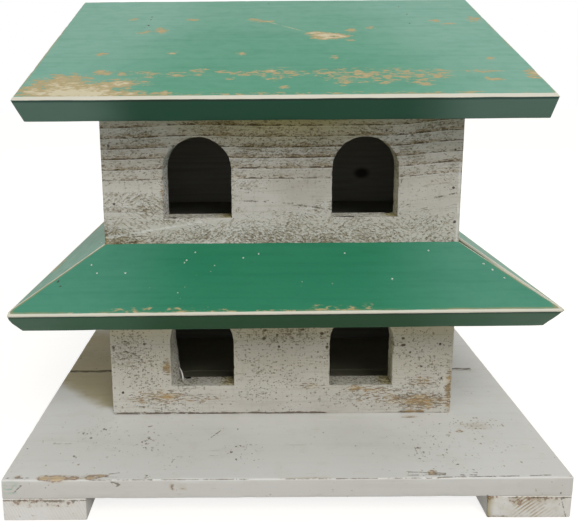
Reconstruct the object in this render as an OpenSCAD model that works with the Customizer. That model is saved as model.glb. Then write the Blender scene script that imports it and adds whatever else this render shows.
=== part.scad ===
/* [Platform] */
// Width of the platform, along X
platform_w = 517; // [470:1:700]
// Width of one platform plank
plank_w = 184; // [170:1:260]
// Thickness of the platform planks
plank_t = 19; // [12:0.5:30]
// Open seam between two planks
plank_gap = 1; // [0.5:0.1:4]
// Width of the runner under each end of the platform
runner_w = 76; // [40:1:120]
// Height of the runners
runner_h = 22; // [12:0.5:60]

/* [House] */
// Outside width of both storeys, along X
house_w = 362; // [330:1:420]
// Outside depth of both storeys, along Y
house_d = 362; // [300:1:440]
// Thickness of the wall boards
wall_t = 19; // [12:0.5:25]
// Height of the lower walls
lower_wall_h = 184; // [160:1:240]
// Height of the upper front and back walls at their outer face
upper_wall_h = 157; // [140:1:220]
// Thickness of the boards that divide the rooms
partition_t = 19; // [9:0.5:25]
// Thickness of the upper floor
floor_t = 19; // [9:0.5:25]
// Height of the upper floor's top above the joint between the storeys
floor_lift = 10; // [0:0.5:15]

/* [Entrance holes] */
// Width of an entrance hole
hole_w = 66; // [40:1:80]
// Height of the straight sides of a hole, below its round top
hole_side_h = 49; // [20:1:55]
// Distance between the centres of the two holes in one wall
hole_spacing = 168; // [140:1:190]
// Height of the sill above the bottom of its wall
sill_h = 33; // [20:1:40]

/* [Skirt roof] */
// Level distance from the wall to the skirt's outer edge
skirt_overhang = 72; // [40:1:90]
// Slope of the skirt boards, in degrees
skirt_slope = 31; // [20:0.5:40]
// Thickness of the skirt boards
skirt_t = 24; // [12:0.5:28]
// Height of the skirt's upper edge above the joint between the storeys
skirt_lap = 7; // [2:0.5:12]
// How much higher the right board meets its wall than the others do
right_lift = 4; // [0:0.5:8]
// Opening at the wall end of the right front hip
right_hip_gap = 8; // [1:0.5:20]
// Share of that hip, from the wall outwards, over which it stands open
right_hip_gap_share = 0.4; // [0.2:0.05:0.9]
// How far behind the corner the left front hip runs out at the side eave
left_hip_miss = 5; // [1:0.5:15]

/* [Upper roof] */
// Level distance from the front or back wall to the eave
eave_overhang = 55; // [20:1:90]
// Distance from a side wall to the end of the roof boards
gable_overhang = 62; // [20:1:90]
// Slope of the roof boards, in degrees
roof_slope = 26; // [15:0.5:40]
// Thickness of the roof boards
roof_t = 23; // [12:0.5:28]
// How much shorter the underside of the front board is at its left end
left_undercut = 7; // [1:0.5:10]
// How much shorter the underside of the front board is at its right end
right_undercut = 2; // [1:0.5:10]

/* [Colours] */
// Paint of the roof boards
roof_colour = "seagreen"; // [seagreen, darkgreen, firebrick, steelblue]
// Paint of the walls and the platform
wall_colour = "gainsboro"; // [gainsboro, white, wheat, tan]
// Bare wood inside the house
bare_colour = "burlywood"; // [burlywood, tan, sienna]

/* [Hidden] */

// Cutting tools run past the wood by this much
past = 1;
$fn = 96;

// Levels, from the ground up
platform_z = runner_h;
lower_z = platform_z + plank_t;
upper_z = lower_z + lower_wall_h;
floor_top_z = upper_z + floor_lift;
skirt_z = upper_z + skirt_lap;

// Platform and rooms in plan
platform_d = 3 * plank_w + 2 * plank_gap;
inner_w = house_w - 2 * wall_t;
inner_d = house_d - 2 * wall_t;
room_d = (inner_d - partition_t) / 2;

// Height gained by a roof board, for each unit of level distance
roof_rise = tan(roof_slope);

// The roof's underside over the outer and the inner face of the front wall, and at the ridge
wall_top_z = upper_z + upper_wall_h;
plate_z = wall_top_z + wall_t * roof_rise;
ridge_under_z = wall_top_z + house_d / 2 * roof_rise;

// Quarter turns that bring a front piece to the right, the back and the left
RIGHT = 90;
BACK = 180;
LEFT = -90;

// Box centred on X and Y, standing on z = 0
module block(size) {
    translate([-size[0] / 2, -size[1] / 2, 0]) cube(size);
}

// Outline drawn as [y, z], drawn out along X and centred on it
module along_x(length, outline) {
    translate([-length / 2, 0, 0])
        rotate([90, 0, 90])
            linear_extrude(length) polygon(outline);
}

module runner(side) {
    translate([side * (platform_w - runner_w) / 2, 0, 0])
        block([runner_w, platform_d, runner_h]);
}

module plank(place) {
    translate([0, place * (plank_w + plank_gap), platform_z])
        block([platform_w, plank_w, plank_t]);
}

// Entrance hole with straight sides and a round top, its sill's middle at the origin
module entrance() {
    rotate([90, 0, 0])
        linear_extrude(wall_t + 2 * past, center = true) {
            translate([-hole_w / 2, 0]) square([hole_w, hole_side_h]);
            translate([0, hole_side_h]) circle(d = hole_w);
        }
}

// Wall board across the house at the front, its foot at z = 0, with two entrance holes
module pierced_wall(outline) {
    difference() {
        along_x(house_w, outline);
        for (side = [-1, 1])
            translate([side * hole_spacing / 2, (wall_t - house_d) / 2, sill_h]) entrance();
    }
}

// Square-topped wall of the lower storey
module lower_pierced_wall() {
    front = -house_d / 2;
    pierced_wall([
        [front, 0],
        [front + wall_t, 0],
        [front + wall_t, lower_wall_h],
        [front, lower_wall_h],
    ]);
}

// Wall of the upper storey, its top bevelled to carry the roof board
module upper_pierced_wall() {
    front = -house_d / 2;
    pierced_wall([
        [front, 0],
        [front + wall_t, 0],
        [front + wall_t, plate_z - upper_z],
        [front, upper_wall_h],
    ]);
}

// Plain wall board between the front and the back wall
module side_wall(side, height) {
    translate([side * (house_w - wall_t) / 2, 0, 0])
        block([wall_t, inner_d, height]);
}

// Board across the whole house at mid-depth
module cross_partition(height) {
    block([inner_w, partition_t, height]);
}

// Board from the cross partition to the front (-1) or the back (1) wall
module centre_partition(side, height) {
    translate([0, side * (partition_t + room_d) / 2, 0])
        block([partition_t, room_d, height]);
}

// Board of the skirt roof that leans on the wall `reach` in front of the centre, cut to a plan
// outline. Its outer edge is level with the others, and `lift` raises it where it meets the wall.
module skirt_board(reach, plan, lift = 0) {
    edge_y = -reach - skirt_overhang;
    edge_z = skirt_z - skirt_overhang * tan(skirt_slope);
    wall_z = skirt_z + lift;
    slope = atan((wall_z - edge_z) / skirt_overhang);
    intersection() {
        along_x(house_w + house_d + 4 * skirt_overhang, [
            [-reach, wall_z],
            [edge_y, edge_z],
            [edge_y + skirt_t * sin(slope), edge_z - skirt_t * cos(slope)],
            [-reach, wall_z - skirt_t / cos(slope)],
        ]);
        linear_extrude(wall_z + past) polygon(plan);
    }
}

// Plan of a skirt board, drawn at the front, for a wall that runs `half` to each side of the
// centre at `reach` from it. Each end is a list of points: its hip, from the outer edge to the wall.
function skirt_plan(half, reach, left_end, right_end) = concat(
    [for (point = left_end) [-half - point[0], -reach - point[1]]],
    [for (point = right_end) [half + point[0], -reach - point[1]]]
);

// Hips as [distance past the corner of the house, distance out from the wall]
mitre = [[skirt_overhang, skirt_overhang], [0, 0]];
open_hip = [
    [skirt_overhang, skirt_overhang],
    [right_hip_gap_share * skirt_overhang, right_hip_gap_share * skirt_overhang],
    [-right_hip_gap, 0],
];
long_end = [
    [skirt_overhang, skirt_overhang],
    [skirt_overhang, skirt_overhang - left_hip_miss],
    [0, 0],
];
short_end = [[skirt_overhang - left_hip_miss, skirt_overhang], [0, 0]];

// List in reverse order
function reversed(list) = [for (i = [len(list) - 1:-1:0]) list[i]];

// Triangle of board over a side wall, under the roof
module gable(side) {
    translate([side * (house_w - wall_t) / 2, 0, 0])
        along_x(wall_t, [
            [-inner_d / 2, plate_z],
            [inner_d / 2, plate_z],
            [0, ridge_under_z],
        ]);
}

// Wedge that undercuts the right end of a roof board
module end_cut(half, undercut) {
    lean = atan(undercut / roof_t);
    translate([half, 0, 0])
        rotate([0, lean, 0])
            translate([0, -house_d, -2 * roof_t])
                cube([2 * roof_t, 2 * house_d, 4 * roof_t]);
}

// Roof board from the ridge down to the front eave, with a plumb cut at the ridge
module roof_board() {
    half = house_w / 2 + gable_overhang;
    span = house_d / 2 + eave_overhang;
    plumb_t = roof_t / cos(roof_slope);
    run = span / cos(roof_slope);
    cut_back = roof_t * roof_rise;
    translate([0, 0, ridge_under_z + plumb_t])
        rotate([roof_slope, 0, 0])
            difference() {
                along_x(2 * half, [
                    [0, 0],
                    [-run, 0],
                    [-run, -roof_t],
                    [-cut_back, -roof_t],
                ]);
                end_cut(half, right_undercut);
                mirror([1, 0, 0]) end_cut(half, left_undercut);
            }
}

module runner_left() {
    color(wall_colour) runner(-1);
}

module runner_right() {
    color(wall_colour) runner(1);
}

module platform_front_plank() {
    color(wall_colour) plank(-1);
}

module platform_middle_plank() {
    color(wall_colour) plank(0);
}

module platform_back_plank() {
    color(wall_colour) plank(1);
}

module lower_front_wall() {
    color(wall_colour) translate([0, 0, lower_z]) lower_pierced_wall();
}

module lower_back_wall() {
    color(wall_colour) translate([0, 0, lower_z]) rotate(BACK) lower_pierced_wall();
}

module lower_left_wall() {
    color(wall_colour) translate([0, 0, lower_z]) side_wall(-1, lower_wall_h);
}

module lower_right_wall() {
    color(wall_colour) translate([0, 0, lower_z]) side_wall(1, lower_wall_h);
}

module lower_cross_partition() {
    color(bare_colour) translate([0, 0, lower_z])
        cross_partition(floor_top_z - floor_t - lower_z);
}

module lower_front_partition() {
    color(bare_colour) translate([0, 0, lower_z])
        centre_partition(-1, floor_top_z - floor_t - lower_z);
}

module lower_back_partition() {
    color(bare_colour) translate([0, 0, lower_z])
        centre_partition(1, floor_top_z - floor_t - lower_z);
}

module upper_floor() {
    color(bare_colour) translate([0, 0, floor_top_z - floor_t])
        block([inner_w, inner_d, floor_t]);
}

module skirt_front() {
    plan = skirt_plan(house_w / 2, house_d / 2, reversed(long_end), mitre);
    color(roof_colour) skirt_board(house_d / 2, plan);
}

module skirt_back() {
    plan = skirt_plan(house_w / 2, house_d / 2, reversed(mitre), mitre);
    color(roof_colour) rotate(BACK) skirt_board(house_d / 2, plan);
}

module skirt_left() {
    plan = skirt_plan(house_d / 2, house_w / 2, reversed(mitre), short_end);
    color(roof_colour) rotate(LEFT) skirt_board(house_w / 2, plan);
}

module skirt_right() {
    plan = skirt_plan(house_d / 2, house_w / 2, reversed(open_hip), mitre);
    color(roof_colour) rotate(RIGHT) skirt_board(house_w / 2, plan, right_lift);
}

module upper_front_wall() {
    color(wall_colour) translate([0, 0, upper_z]) upper_pierced_wall();
}

module upper_back_wall() {
    color(wall_colour) translate([0, 0, upper_z]) rotate(BACK) upper_pierced_wall();
}

module upper_left_wall() {
    color(wall_colour) translate([0, 0, upper_z]) side_wall(-1, plate_z - upper_z);
}

module upper_right_wall() {
    color(wall_colour) translate([0, 0, upper_z]) side_wall(1, plate_z - upper_z);
}

module left_gable() {
    color(wall_colour) gable(-1);
}

module right_gable() {
    color(wall_colour) gable(1);
}

module upper_cross_partition() {
    color(bare_colour) translate([0, 0, floor_top_z]) cross_partition(plate_z - floor_top_z);
}

module upper_front_partition() {
    color(bare_colour) translate([0, 0, floor_top_z])
        centre_partition(-1, plate_z - floor_top_z);
}

module upper_back_partition() {
    color(bare_colour) translate([0, 0, floor_top_z])
        centre_partition(1, plate_z - floor_top_z);
}

module roof_front() {
    color(roof_colour) roof_board();
}

module roof_back() {
    color(roof_colour) rotate(BACK) roof_board();
}

runner_left();
runner_right();
platform_front_plank();
platform_middle_plank();
platform_back_plank();
lower_front_wall();
lower_back_wall();
lower_left_wall();
lower_right_wall();
lower_cross_partition();
lower_front_partition();
lower_back_partition();
upper_floor();
skirt_front();
skirt_back();
skirt_left();
skirt_right();
upper_front_wall();
upper_back_wall();
upper_left_wall();
upper_right_wall();
left_gable();
right_gable();
upper_cross_partition();
upper_front_partition();
upper_back_partition();
roof_front();
roof_back();
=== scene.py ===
"""Purple martin birdhouse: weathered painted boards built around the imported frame."""
import functools
import math

import bpy
import numpy as np
from mathutils import Matrix, Vector


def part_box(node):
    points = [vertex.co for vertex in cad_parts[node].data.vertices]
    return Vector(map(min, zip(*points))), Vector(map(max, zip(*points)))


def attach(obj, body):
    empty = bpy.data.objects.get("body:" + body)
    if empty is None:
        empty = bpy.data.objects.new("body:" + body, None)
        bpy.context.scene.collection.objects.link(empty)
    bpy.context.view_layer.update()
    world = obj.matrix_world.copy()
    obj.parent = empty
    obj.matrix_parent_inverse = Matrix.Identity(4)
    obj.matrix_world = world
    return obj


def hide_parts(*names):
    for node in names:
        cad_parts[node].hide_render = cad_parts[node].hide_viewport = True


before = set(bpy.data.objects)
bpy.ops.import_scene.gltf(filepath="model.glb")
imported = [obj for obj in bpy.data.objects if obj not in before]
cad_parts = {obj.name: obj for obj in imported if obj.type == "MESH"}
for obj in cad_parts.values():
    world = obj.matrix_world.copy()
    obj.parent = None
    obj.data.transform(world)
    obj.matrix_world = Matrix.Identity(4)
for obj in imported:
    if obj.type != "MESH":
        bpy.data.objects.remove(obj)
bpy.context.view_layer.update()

MM = 0.001
TINY = 1e-9

# Entrance holes, in metres: width, straight side below the round top, spacing, sill height
HOLE_W = 66 * MM
HOLE_SIDE = 49 * MM
HOLE_SPACING = 168 * MM
SILL_H = 33 * MM
UPPER_WALL_H = 157 * MM  # outer face of the upper front and back walls, under the roof

# Skirt boards: thickness, slope and the open hips at the front corners
SKIRT_T = 24 * MM
SKIRT_SLOPE = math.radians(31)
OPEN_HIP_GAP = 8 * MM
OPEN_HIP_SHARE = 0.4
LEFT_HIP_MISS = 5 * MM

# Roof boards: thickness, slope and undercut ends
ROOF_T = 23 * MM
ROOF_SLOPE = math.radians(26)
LEFT_UNDERCUT = 7 * MM
RIGHT_UNDERCUT = 2 * MM

# Boards: radius of the arrises, depth of the largest chips and of the saw marks
ARRIS_R = 1.1 * MM
CHIP = 1.5 * MM
SAW_MARK = 0.12 * MM
WORN_R = 1.2 * MM  # how much rounder an arris is where the paint is worn off
ARRIS_STEPS = 1.2 * MM * np.array([0, 0.3, 0.65, 1.0, 2.0])  # grid lines in from an edge
LAYERS = 4  # cells through a board's thickness, between the arrises
HOLE_STEPS = np.array([0, 0.2, 0.4, 0.56, 0.7, 0.8, 0.88, 0.93, 0.97, 1])  # towards a hole
HOLE_MARGIN = 12 * MM  # width of the mesh that follows a hole's outline
HOLE_REACH = 14 * MM  # how far a hole's edge is worked
HOLE_ROUGH, HOLE_FUZZ, HOLE_NICK = 0.45 * MM, 0.3 * MM, 2.4 * MM  # where the saw strayed
DARK_SIDE_SHARE = 0.8  # how rough and specked the most shaded side of a hole is

# Quarter turns that bring a front board to the other sides
FRONT, RIGHT, BACK, LEFT = 0, 90, 180, -90


# ---------------------------------------------------------------- noise for shapes

def hashed(cells, seed):
    """A repeatable number from 0 to 1 for each row of whole numbers. The large numbers only
    scatter the bits."""
    n = cells[:, 0] * 374761393 + cells[:, 1] * 668265263 + cells[:, 2] * 974634777
    n = (n + seed * 1274126177) & 0xFFFFFFFF
    n = ((n ^ (n >> 13)) * 1274126177) & 0xFFFFFFFF
    return ((n ^ (n >> 16)) & 0xFFFFFF) / float(0xFFFFFF)


def noise(points, size, seed):
    """Smooth noise from -1 to 1 at the points, with features of about size metres."""
    q = points / np.asarray(size, float)
    cell = np.floor(q).astype(np.int64)
    f = q - cell
    f = f * f * (3 - 2 * f)
    total = np.zeros(len(points))
    for corner in np.ndindex(2, 2, 2):
        weight = np.where(corner, f, 1 - f).prod(1)
        total += weight * hashed(cell + np.array(corner), seed)
    return total * 2 - 1


def smooth(x, low, high):
    """0 below low, 1 above high, and a smooth rise between them."""
    t = np.clip((x - low) / (high - low), 0, 1)
    return t * t * (3 - 2 * t)


# ---------------------------------------------------------------- flat sheets

def even(low, high, step):
    """Places from low to high, about step apart."""
    return np.linspace(low, high, max(2, int(round((high - low) / step)) + 1))


def graded(length, step):
    """Places from 0 to length, close together at both ends."""
    *edge, inner = ARRIS_STEPS
    return np.concatenate([edge, even(inner, length - inner, step), length - np.array(edge[::-1])])


def numbered(rows, columns, start=0):
    """Point numbers of a grid."""
    return start + np.arange(rows * columns).reshape(rows, columns)


def net(index):
    """Quads between the point numbers of a grid."""
    corners = [index[:-1, :-1], index[1:, :-1], index[1:, 1:], index[:-1, 1:]]
    return np.stack(corners, -1).reshape(-1, 4)


def round_net(index):
    """Quads round a tube, from the point numbers of its rings."""
    return net(np.column_stack([index, index[:, 0]]).T)


def grid_sheet(us, vs):
    """Points and quads of a rectangular grid."""
    u, v = np.meshgrid(us, vs, indexing="ij")
    return np.stack([u.ravel(), v.ravel()], 1), net(numbered(*u.shape))


def band_sheet(outer, inner):
    """Grid between two rows of points, with the outer row on the right hand."""
    points = np.stack([outer + (inner - outer) * share for share in HOLE_STEPS], 1)
    return points.reshape(-1, 2), net(numbered(*points.shape[:2]))


def weld(parts):
    """One sheet from several that share their border points."""
    points = np.concatenate([p for p, _ in parts])
    starts = np.cumsum([0] + [len(p) for p, _ in parts[:-1]])
    quads = np.concatenate([q + s for (_, q), s in zip(parts, starts)])
    keys = np.round(points / 1e-7).astype(np.int64)
    _, first, which = np.unique(keys, axis=0, return_index=True, return_inverse=True)
    return points[first], which.ravel()[quads]


class Hole:
    """Entrance hole with straight sides and a round top, in a wall's own (u, v)."""

    def __init__(self, centre):
        self.u, self.sill, self.side, self.r = centre, SILL_H, HOLE_SIDE, HOLE_W / 2
        self.spring = self.sill + self.side
        self.top = self.spring + self.r

    def arch(self, angle, drop=0.0):
        """Points at those angles round the arch, lowered by drop to go on down the jamb."""
        x, y = self.r * np.cos(angle), self.r * np.sin(angle)
        return np.stack([self.u + x, self.spring - drop + y], 1)

    def outline(self, across, up):
        """The hole's four sides, anticlockwise from the sill, with that many cells each."""
        sill_u = np.linspace(self.u - self.r, self.u + self.r, across + 1)
        sill = np.stack([sill_u, np.full(across + 1, self.sill)], 1)
        along = np.linspace(-self.side, self.r * math.pi / 4, up + 1)
        jamb = self.arch(np.maximum(along, 0) / self.r, np.maximum(-along, 0))
        arch = self.arch(np.linspace(math.pi / 4, 3 * math.pi / 4, across + 1))
        mirrored = jamb[::-1] * [-1, 1] + [2 * self.u, 0]
        return [sill, jamb, arch, mirrored]

    def distance(self, u, v):
        """Distance from the hole's edge, and the unit direction to it."""
        x, y = u - self.u, v - self.spring
        below = y < -self.side
        dx = x - np.where(below, np.clip(x, -self.r, self.r), 0)
        dy = y - np.clip(y, -self.side, 0)
        length = np.maximum(np.hypot(dx, dy), TINY)
        gap = np.where(below, length, length - self.r)
        return gap, -dx / length, -dy / length


def pierced_sheet(width, height, holes, step_u, step_v):
    """Wall face with its entrance holes, as one sheet of quads."""
    u_cuts = [0.0]
    for hole in holes:
        u_cuts += [hole.u - hole.r - HOLE_MARGIN, hole.u + hole.r + HOLE_MARGIN]
    u_cuts.append(width)
    v_cuts = [0.0, holes[0].sill - HOLE_MARGIN, holes[0].top + HOLE_MARGIN, height]

    def lines(cuts, step):
        """Grid lines of each span, close together at the wall's own edges."""
        spans, last = [], len(cuts) - 2
        for i, (a, b) in enumerate(zip(cuts, cuts[1:])):
            plain, fine = even(a, b, step), graded(b - a, step) + a
            head, tail = (fine if i == edge else plain for edge in (0, last))
            middle = (a + b) / 2
            spans.append(np.concatenate([head[head < middle], tail[tail >= middle]]))
        return spans

    parts = []
    for i, us in enumerate(lines(u_cuts, step_u)):
        for j, vs in enumerate(lines(v_cuts, step_v)):
            if i % 2 == 0 or j != 1:
                parts.append(grid_sheet(us, vs))
                continue
            inner = holes[i // 2].outline(len(us) - 1, len(vs) - 1)
            right, left = (np.stack([np.full(len(vs), us[k]), vs], 1) for k in (-1, 0))
            low, high = (np.stack([us, np.full(len(us), vs[k])], 1) for k in (0, -1))
            outer = [low, right, high[::-1], left[::-1]]
            parts += [band_sheet(o, n) for o, n in zip(outer, inner)]
    return weld(parts)


def thicken(points, quads, depths):
    """Closed solid from a sheet: the sheet in front, its copy behind and sides between."""
    n, last = len(points), len(depths) - 1
    edges = np.concatenate([quads[:, [i, (i + 1) % 4]] for i in range(4)])
    forward, backward = edges[:, 0] * n + edges[:, 1], edges[:, 1] * n + edges[:, 0]
    rim = edges[~np.isin(forward, backward)]
    around = np.unique(rim)
    place = np.full(n, -1)
    place[around] = np.arange(len(around))

    def vertex(p, layer):
        if layer in (0, last):
            return p + (n if layer else 0)
        return 2 * n + (layer - 1) * len(around) + place[p]

    layers = [(points, depths[0]), (points, depths[-1])]
    layers += [(points[around], depth) for depth in depths[1:-1]]
    local = [np.column_stack([p, np.full(len(p), depth)]) for p, depth in layers]
    faces = [quads, (quads + n)[:, ::-1]]
    i, j = rim.T
    for k in range(last):
        side = [vertex(i, k), vertex(i, k + 1), vertex(j, k + 1), vertex(j, k)]
        faces.append(np.stack(side, 1))
    return np.concatenate(local), np.concatenate(faces)


# ---------------------------------------------------------------- wear and wood

PATCH_REACH, PATCH_MOST = 1.5, 1.2
LINE_REACH = 4 * MM
RING_WAVE = 1.5 * MM


def blend_patches(u, v, patches):
    """Strength of the patches at each point. A patch is (u, v, half u, half v, strength) in mm:
    the strongest one above 0 counts, and so does the strongest below 0. It is a little stronger
    than that in its middle, and fades to nothing half as far again as its half sizes."""
    high, low = np.zeros(len(u)), np.zeros(len(u))
    for pu, pv, ru, rv, strength in patches:
        reach = np.hypot((u - pu * MM) / (ru * MM), (v - pv * MM) / (rv * MM))
        value = strength * np.clip(PATCH_REACH - reach, 0, PATCH_MOST)
        high, low = np.maximum(high, value), np.minimum(low, value)
    return high + low


def line_field(u, v, lines):
    """Signed distance in metres from the nearest of some straight lines (u, v, u, v, in mm),
    and how near it is: 1 on the line and 0 from LINE_REACH away."""
    signed, near = np.zeros(len(u)), np.ones(len(u))
    for u0, v0, u1, v1 in lines:
        du, dv = (u1 - u0) * MM, (v1 - v0) * MM
        length = math.hypot(du, dv)
        x, y = u - u0 * MM, v - v0 * MM
        along, across = (x * du + y * dv) / length, (x * dv - y * du) / length
        past = np.maximum(np.maximum(-along, along - length), 0)
        reach = np.hypot(across, past)
        closer = reach < near
        signed, near = np.where(closer, across, signed), np.where(closer, reach, near)
    return signed, np.clip(1 - near / LINE_REACH, 0, 1)


def level_patch(v, half_v, strength):
    """A patch over the whole length of a board."""
    return (0, v, 900, half_v, strength)


def all_over(strength):
    """A patch over a whole wall."""
    return (0, 90, 2000, 400, strength)


def scattered(rng, count, width, height, ru, rv, low, high):
    """Patches at random places on a face, in mm from the middle of its lower edge."""
    ranges = ((-width / 2 / MM, width / 2 / MM), (0, height / MM), ru, rv, (low, high))
    return [tuple(rng.uniform(*r) for r in ranges) for _ in range(count)]


def wood_rings(u, v, w, rng, lean, knots):
    """Distance in metres across the growth rings, with a slow wave along the board, and how
    near a knot is. A knot is (u, v, radius) in mm, and the rings bend round it."""
    points = np.stack([u, v, w], 1)
    wave = RING_WAVE * noise(points, (90 * MM, 45 * MM, 45 * MM), int(rng.integers(1e6)))
    rings = lean[0] * v + lean[1] * w + wave
    knot = np.zeros(len(u))
    for ku, kv, kr in knots:
        d = np.hypot((u - ku * MM) / (kr * MM), (v - kv * MM) / (0.7 * kr * MM))
        rings = rings + np.sign(v - kv * MM) * kr * 0.6 * MM * np.exp(-((d / 2.2) ** 2))
        knot = np.maximum(knot, np.clip(2 - d, 0, 2))
    return rings, knot


def unfold(local, length):
    """Steps to add to a board's (u, v) to unfold its lower edge and its two ends, how much of
    the wear shows at each point, and where the lower edge is."""
    u, v, w = local.T
    low_edge, left_end, right_end = (smooth(x, 3 * MM, 1 * MM) for x in (v, u, length - u))
    step_u = w * (right_end - left_end)
    step_v = -w * low_edge * (1 - left_end) * (1 - right_end)
    seen = np.max([low_edge, left_end, right_end, smooth(w, 6 * MM, 2 * MM)], 0)
    return step_u, step_v, seen, low_edge


def wear_fields(marks, u, v, seen):
    """Strength of each kind of mark at each point."""
    fields = {}
    for key in ("wear", "stain_and_shade", "speck", "check", "rough", "smudge", "fleck"):
        patches = marks.get(key, ())
        if callable(patches):
            fields[key] = patches(u, v)
        else:
            fields[key] = seen * blend_patches(u, v, patches)
    for key in ("split", "ridge", "joint"):
        fields[key], near = line_field(u, v, marks.get(key, ()))
        fields[key + "_near"] = near * seen
    return fields


def hole_fields(local, rim, depth, holes, jamb_light, sill_light):
    """Distance from an arris, the holes' own among them, and the painted shade, partly grime, and
    the painted light on the sides of the holes."""
    u, v, _ = local.T
    shade_and_dirt, painted_light = np.zeros(len(u)), np.zeros(len(u))
    for hole in holes:
        gap = hole.distance(u, v)[0]
        rim = np.where(depth < TINY, np.minimum(rim, np.maximum(gap, 0)), rim)
        inside = gap < 1e-6
        rim = np.where(inside, depth, rim)
        x = (u - hole.u) / hole.r
        sill, left = v < hole.sill + 1e-6, x < -0.5
        # Painted shade: the right jambs, and each sill towards its right end, are darker; the left
        # jambs are not.
        side_shade_and_dirt = np.where(sill, 0.2 + 0.8 * smooth(x, 0.4, 0.95), np.where(left, 0.0, 0.5))
        # Painted light on the sills and the left jambs.
        side_light = np.where(sill, sill_light, jamb_light * left)
        shown = inside * smooth(depth, 0, 1.5 * MM)
        shade_and_dirt, painted_light = np.maximum(shade_and_dirt, shown * side_shade_and_dirt), np.maximum(painted_light, shown * side_light)
    return rim, shade_and_dirt, painted_light


def strip_field(local, face, low_edge, from_end, widths):
    """How far inside the strips of bare primer along the eave and the ends a point lies."""
    eave, band, end = widths
    _, v, w = local.T
    width = np.where((low_edge > 0.5) & ~face, band, eave)
    return np.maximum(width - np.where(face, v, w), end - np.where(face, from_end, w))


# ---------------------------------------------------------------- boards

def round_arrises(local, size, radius):
    """Rounds a block's outer edges, with a radius for each point."""
    r = np.minimum(radius, np.min(size) * 0.45)[:, None]
    core = np.clip(local, r, size - r)
    away = local - core
    reach = np.linalg.norm(away, axis=1, keepdims=True)
    return np.where(reach > TINY, core + r * away / np.maximum(reach, TINY), local)


def round_hole(local, thickness, hole, radius, seed):
    """Rounds the edges of a hole and leaves its outline slightly rough, as sawn by hand."""
    gap, du, dv = hole.distance(local[:, 0], local[:, 1])
    depth = np.minimum(local[:, 2], thickness - local[:, 2])
    near = gap < HOLE_REACH
    inward, up = np.maximum(radius - gap, 0), np.maximum(radius - depth, 0)
    length = np.maximum(np.hypot(inward, up), TINY)
    both = (inward > 0) & (up > 0)
    new_gap = np.where(both, radius - radius * inward / length, gap)
    new_depth = np.where(both, radius - radius * up / length, depth)
    rough = HOLE_ROUGH * noise(local, 9 * MM, seed) + HOLE_FUZZ * noise(local, 3 * MM, seed + 1)
    nick = noise(local, (6 * MM, 6 * MM, 5 * MM), seed + 2)
    nick = HOLE_NICK * np.clip(nick - 0.4, 0, 1)
    fade = np.clip(1 - gap / (8 * MM), 0, 1)
    edge = np.clip(1 - depth / (6 * MM), 0, 1)
    shift = gap - new_gap - (np.abs(rough) + nick * edge) * fade
    front = local[:, 2] < thickness / 2
    moved = np.where(front, new_depth, thickness - new_depth)
    local[near, 0] += (du * shift)[near]
    local[near, 1] += (dv * shift)[near]
    local[near & both, 2] = moved[near & both]
    return local


def add_piece(name, slot, material, points, faces, attributes, node=None):
    """A new mesh that rides on the house, in the place of the CAD node if one is named."""
    mesh = bpy.data.meshes.new(name)
    mesh.from_pydata(points.tolist(), [], [list(f) for f in faces])
    for key, values in attributes.items():
        kind, field = ("FLOAT_VECTOR", "vector") if values.ndim == 2 else ("FLOAT", "value")
        layer = mesh.attributes.new(key, kind, "POINT")
        layer.data.foreach_set(field, values.astype(np.float32).ravel())
    mesh.shade_smooth()
    mesh.materials.append(material)
    piece = bpy.data.objects.new(name, mesh)
    bpy.context.scene.collection.objects.link(piece)
    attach(piece, "root")
    if node:
        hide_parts(node)


# Slot, points, their (u, v) and outward direction of each board's outer face, by node
OUTER_FACES = {}


def outward(place):
    """Unit normal of a board's outer face, in the front frame."""
    spots = np.array([(0.5, 0.5, 0), (0.6, 0.5, 0), (0.5, 0.6, 0)])
    middle, along, up = np.stack(place(*spots.T), 1)
    normal = np.cross(along - middle, up - middle)
    return normal / np.linalg.norm(normal)


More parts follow.
